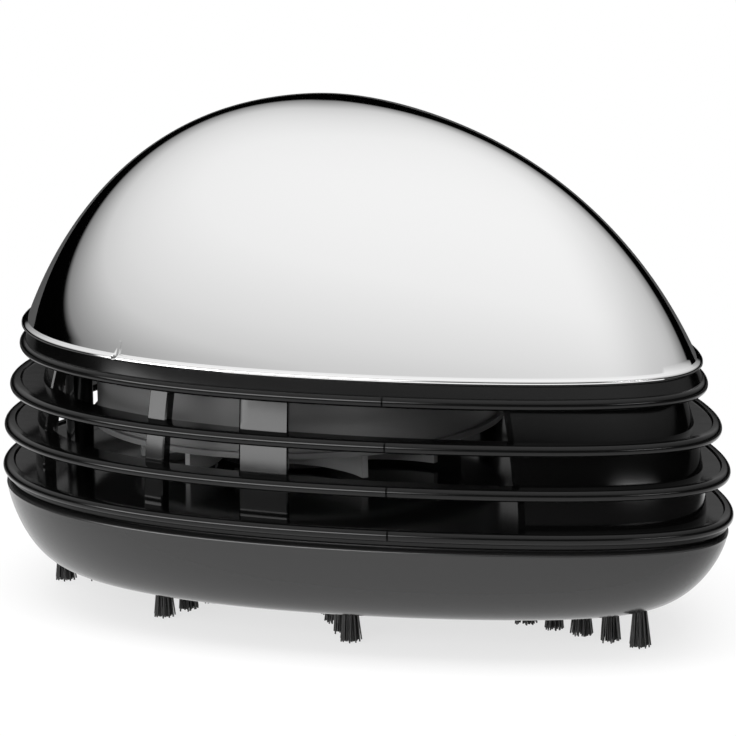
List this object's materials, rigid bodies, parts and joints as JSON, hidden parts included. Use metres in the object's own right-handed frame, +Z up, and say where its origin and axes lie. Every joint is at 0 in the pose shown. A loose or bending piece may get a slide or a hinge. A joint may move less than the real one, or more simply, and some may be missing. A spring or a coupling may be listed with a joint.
{
  "type": "desktop mini vacuum cleaner",
  "caption": "Egg-shaped desktop mini vacuum with a lift-off dome, ringed exhaust vents, a pull-off dust bowl with brush tufts, a slide switch and a battery fan.",
  "frame": {"origin": "on the surface that the brush tips stand on, at the middle of the bounding box", "axes": "+X along the long axis towards the narrow end, +Y to its left, +Z up"},
  "size_m": [0.116, 0.0856, 0.0714],
  "materials": {
    "bowl_plastic": "semi-gloss black moulded plastic",
    "housing_plastic": "gloss black moulded plastic",
    "switch_black": "matt black plastic",
    "seal_rubber": "soft black rubber",
    "filter_plastic": "satin pale grey plastic",
    "filter_cloth": "fine woven nylon mesh",
    "fan_plastic": "satin white plastic",
    "steel": "bright plated steel",
    "brass": "plain brass",
    "drum_plastic": "satin dark grey plastic",
    "cap_plastic": "white nylon",
    "tray_plastic": "satin black plastic",
    "cell_jacket": "printed plastic film on steel, plain",
    "bristle": "black nylon filament",
    "chrome": "bright plated shell"
  },
  "bodies": {
    "dust_bowl": {"dust_bowl": "bowl_plastic", "intake_spout": "bowl_plastic", "brush_row_nose": "bristle", "brush_row_right_fore": "bristle", "brush_row_right_side": "bristle", "brush_row_right_rear": "bristle", "brush_row_tail": "bristle", "brush_row_left_rear": "bristle", "brush_row_left_side": "bristle", "brush_row_left_fore": "bristle"},
    "main_housing": {"vent_housing": "housing_plastic", "switch_body": "switch_black", "bowl_gasket": "seal_rubber", "filter_frame": "filter_plastic", "filter_mesh": "filter_cloth", "fan_drum": "drum_plastic", "motor_can": "steel", "motor_bush": "brass", "motor_end_cap": "cap_plastic", "motor_tags": "brass", "battery_tray": "tray_plastic", "cell_front": "cell_jacket", "cell_rear": "cell_jacket", "leaf_springs": "steel", "bridge_contact": "steel", "front_contact": "steel", "rear_contact": "steel", "motor_strap": "steel", "tray_screws": "steel", "drum_screws": "steel", "strap_screws": "steel"},
    "switch_slider": {"switch_knob": "switch_black", "switch_lever": "switch_black"},
    "impeller": {"impeller": "fan_plastic", "motor_shaft": "steel"},
    "cover": {"dome_cover": "chrome", "cover_clip_ring": "housing_plastic"}
  },
  "joints": [
    {"name": "bowl_pull_off", "type": "slide", "parent": "dust_bowl", "child": "main_housing", "axis": [0, 0, 1], "range_m": [0, 0.03]},
    {"name": "cover_lift_off", "type": "slide", "parent": "main_housing", "child": "cover", "axis": [0, 0, 1], "range_m": [0, 0.05]},
    {"name": "impeller_spin", "type": "hinge", "parent": "main_housing", "child": "impeller", "pos_m": [-0.017, 0, 0.022], "axis": [0, 0, 1], "continuous": true},
    {"name": "switch_slide", "type": "slide", "parent": "main_housing", "child": "switch_slider", "axis": [0, 1, 0], "range_m": [0, 0.004]}
  ]
}
